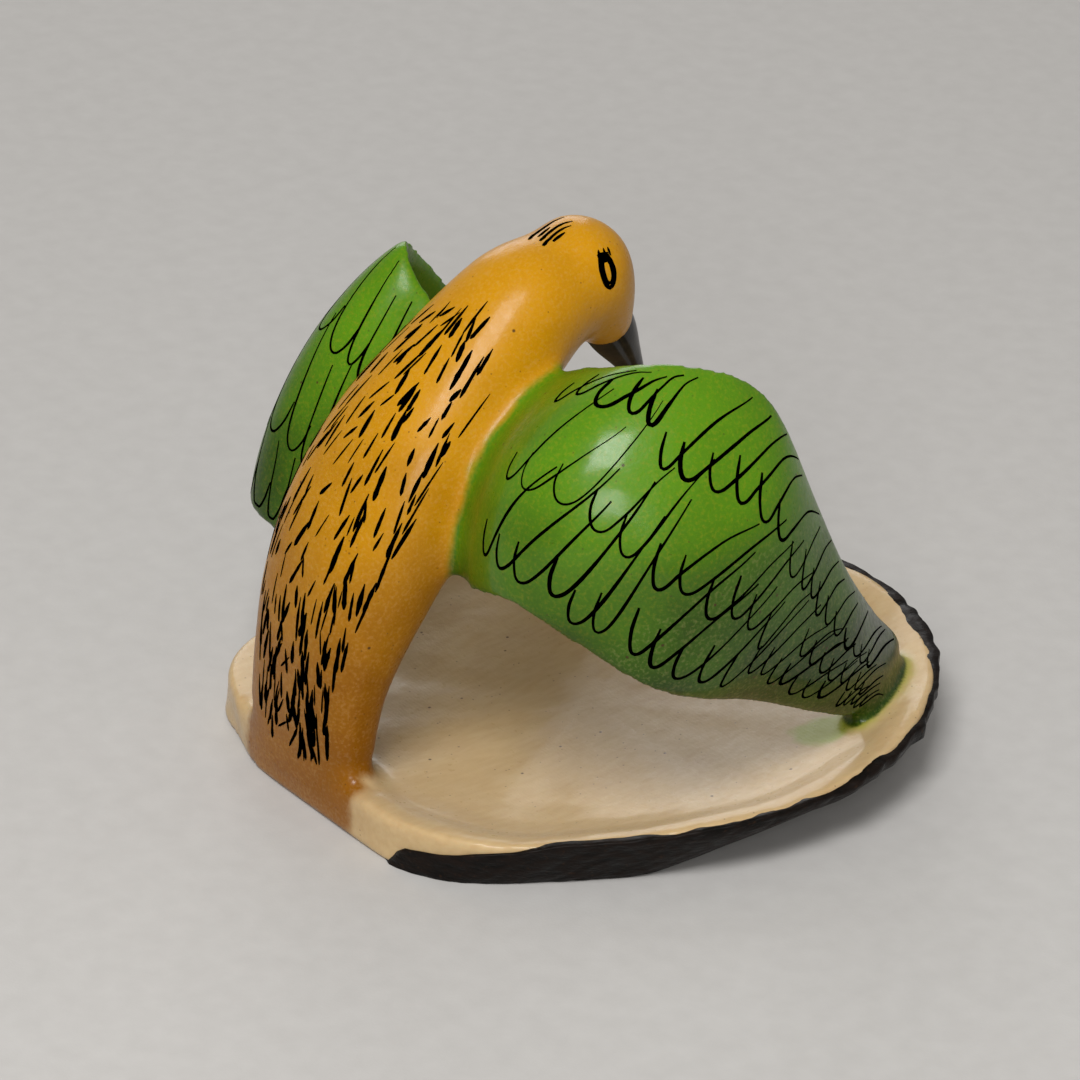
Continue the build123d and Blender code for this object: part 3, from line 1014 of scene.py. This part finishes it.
def dyed_nut(name, lacquer):
    """Palm nut under dyes and clear lacquer. The attribute says how much yellow, green and
    bled-out fringe there is, and how much painted shade darkens the dyes low down."""
    paint = Paint(name)
    dye_and_shade = paint.node("Attribute", attribute_name="dye_and_shade")
    parts = paint.node("SeparateColor", {"Color": dye_and_shade.outputs["Color"]})
    grain = paint.noise(1.9, 6.0, paint.stretched((1.0, 0.3, 1.0)))
    fine = paint.noise(4.0, 5.0)
    cloud = paint.noise(0.16, 3.0)

    cream = paint.mix(paint.span(grain, 0.35, 0.65), CREAM, CREAM_PALE)
    cream = paint.mix(paint.math("MULTIPLY", paint.span(cloud, 0.5, 0.75), 0.22), cream, CREAM_STAIN)
    cream = paint.mix(parts.outputs["Blue"], cream, LIME)

    # Painted shade from the attribute's fourth channel, with random tone from noise, takes the dyes
    # towards ochre and olive.
    shade_and_tone = paint.math("ADD", dye_and_shade.outputs["Alpha"], paint.span(cloud, 0.3, 0.7, -0.18, 0.18))
    shade_and_tone = paint.math("ADD", shade_and_tone, paint.span(fine, 0.3, 0.7, -0.07, 0.07))
    yellow = paint.mix(shade_and_tone, YELLOW, OCHRE)
    green = paint.mix(shade_and_tone, GREEN, OLIVE)

    # The dyes' borders are a little ragged.
    edge = paint.span(fine, 0.3, 0.7, -0.12, 0.12)

    def ragged(amount):
        return paint.math("ADD", amount, paint.math("MULTIPLY", edge, amount))

    colour = paint.mix(ragged(parts.outputs["Red"]), cream, yellow)
    colour = paint.mix(ragged(parts.outputs["Green"]), colour, green)
    colour = paint.mix(paint.math("MULTIPLY", paint.specks(0.7, 0.1), 0.85), colour, SPECK)
    colour = paint.mix(paint.math("MULTIPLY", paint.specks(1.7, 0.14), 0.5), colour, SPECK)

    # Sanding marks, then a fine pitting that breaks up the gloss.
    waves = {"Vector": paint.where, "Scale": 1.1 / MM}
    waves |= {"Distortion": 5.0, "Detail": 3.0, "Detail Scale": 0.6}
    marks = paint.node("TexWave", waves, wave_type="RINGS").outputs["Fac"]
    relief = paint.bump(marks, 0.0015)
    relief = paint.bump(paint.noise(1.1, 5.0), 0.035, relief)
    relief = paint.bump(paint.noise(7.0, 3.0), 0.006, relief)
    return paint.finish(
        Base_Color=colour,
        Roughness=paint.span(paint.noise(2.2, 6.0), 0.3, 0.7, 0.26, 0.44),
        IOR=1.52,
        Specular_IOR_Level=0.14,
        Subsurface_Weight=0.12,
        Subsurface_Radius=(1.0, 0.5, 0.2),
        Subsurface_Scale=0.0008,
        Coat_Weight=lacquer,
        Coat_Roughness=0.14,
        Normal=relief,
    )


def shell():
    """Brown-black seed coat, half glossy where it was polished with the nut."""
    paint = Paint("seed_coat")
    cracks = paint.noise(0.8, 8.0, paint.stretched((1.0, 1.0, 2.2)))
    colour = paint.mix(paint.span(cracks, 0.35, 0.7), HUSK_DARK, HUSK_BROWN)
    worn = paint.span(paint.noise(2.6, 5.0), 0.62, 0.74)
    colour = paint.mix(paint.math("MULTIPLY", worn, 0.5), colour, HUSK_WORN)
    relief = paint.bump(cracks, 0.16)
    relief = paint.bump(paint.noise(5.0, 4.0), 0.02, relief)
    return paint.finish(
        Base_Color=colour,
        Roughness=paint.span(cracks, 0.3, 0.7, 0.32, 0.6),
        Specular_IOR_Level=0.14,
        Normal=relief,
    )


def black_dye():
    """The beak: black stain that let a little brown through, under the same lacquer."""
    paint = Paint("black_dye")
    patch = paint.noise(0.7, 5.0)
    colour = paint.mix(paint.span(patch, 0.42, 0.75), BEAK_BLACK, BEAK_BROWN)
    relief = paint.bump(paint.noise(1.6, 5.0), 0.03)
    return paint.finish(
        Base_Color=colour,
        Roughness=paint.span(patch, 0.3, 0.7, 0.28, 0.42),
        Specular_IOR_Level=0.3,
        Coat_Weight=0.18,
        Coat_Roughness=0.18,
        Normal=relief,
    )


def pen_ink():
    """Black pen, thin enough in places to look brownish."""
    paint = Paint("pen_ink")
    thin = paint.noise(3.0, 4.0)
    colour = paint.mix(paint.span(thin, 0.5, 0.8), INK_BLACK, INK_THIN)
    return paint.finish(
        Base_Color=colour,
        Roughness=paint.span(thin, 0.3, 0.7, 0.34, 0.5),
        Specular_IOR_Level=0.22,
        Coat_Weight=0.15,
        Coat_Roughness=0.2,
        Normal=paint.bump(thin, 0.01),
    )


def floor_paper():
    """Plain pale floor."""
    paint = Paint("floor_paper")
    tone = paint.span(paint.noise(0.5, 3.0), 0.3, 0.7)
    colour = paint.mix(tone, FLOOR_DARK, FLOOR_PALE)
    relief = paint.bump(paint.noise(4.0, 3.0), 0.01)
    return paint.finish(Base_Color=colour, Roughness=0.9, Normal=relief)


def dress(piece, material):
    piece.data.materials.clear()
    piece.data.materials.append(material)


# The lacquer is thickest on the right wing.
dress(dish, dyed_nut("nut_kernel", 0.22))
dress(bird, dyed_nut("nut_yellow_dye", 0.12))
dress(right_wing, dyed_nut("nut_green_dye_right", 0.3))
dress(left_wing, dyed_nut("nut_green_dye_left", 0.16))
dress(husk, shell())
dress(beak, black_dye())
ink = pen_ink()
for drawing in drawings:
    dress(drawing, ink)

# ---- Floor, light and camera (metres) ----


def aimed(name, data, place, direction):
    thing = bpy.data.objects.new(name, data)
    bpy.context.scene.collection.objects.link(thing)
    thing.location = place
    thing.rotation_euler = Vector(direction).to_track_quat("-Z", "Y").to_euler()
    return thing


def soft_light(name, direction, distance, size, power):
    data = bpy.data.lights.new(name, "AREA")
    data.size = size
    data.energy = power
    towards = unit(np.array(direction))
    return aimed(name, data, towards * distance, -towards)


FLOOR_HALF = 0.7
floor_corners = [(x * FLOOR_HALF, y * FLOOR_HALF, 0) for x, y in ((-1, -1), (1, -1), (1, 1), (-1, 1))]
floor = new_object("floor", floor_corners, [(0, 1, 2, 3)])
dress(floor, floor_paper())

# Direction from the object, distance, size and power
soft_light("overhead_softbox", (0.36, -0.44, 0.83), 0.45, 0.16, 1.3)
soft_light("camera_side_softbox", (0.66, -0.60, 0.42), 0.5, 0.12, 0.5)
soft_light("back_fill", (-0.80, 0.45, 0.38), 0.55, 0.3, 0.7)

world = bpy.data.worlds.new("room")
bpy.context.scene.world = world
world.use_nodes = True
sky = world.node_tree.nodes["Background"]
sky.inputs["Color"].default_value = (1.0, 0.97, 0.93, 1)
sky.inputs["Strength"].default_value = 0.30

AZIMUTH, ELEVATION = math.radians(53.13), math.radians(28.0)
CAMERA_PLACE = (0.26617, -0.20350, 0.19422)
lens = bpy.data.cameras.new("camera")
lens.lens = 181.6
lens.sensor_width = 36.0
looking = (
    -math.sin(AZIMUTH) * math.cos(ELEVATION),
    math.cos(AZIMUTH) * math.cos(ELEVATION),
    -math.sin(ELEVATION),
)
camera = aimed("camera", lens, CAMERA_PLACE, looking)
bpy.context.scene.camera = camera
bpy.context.scene.view_settings.view_transform = "Standard"
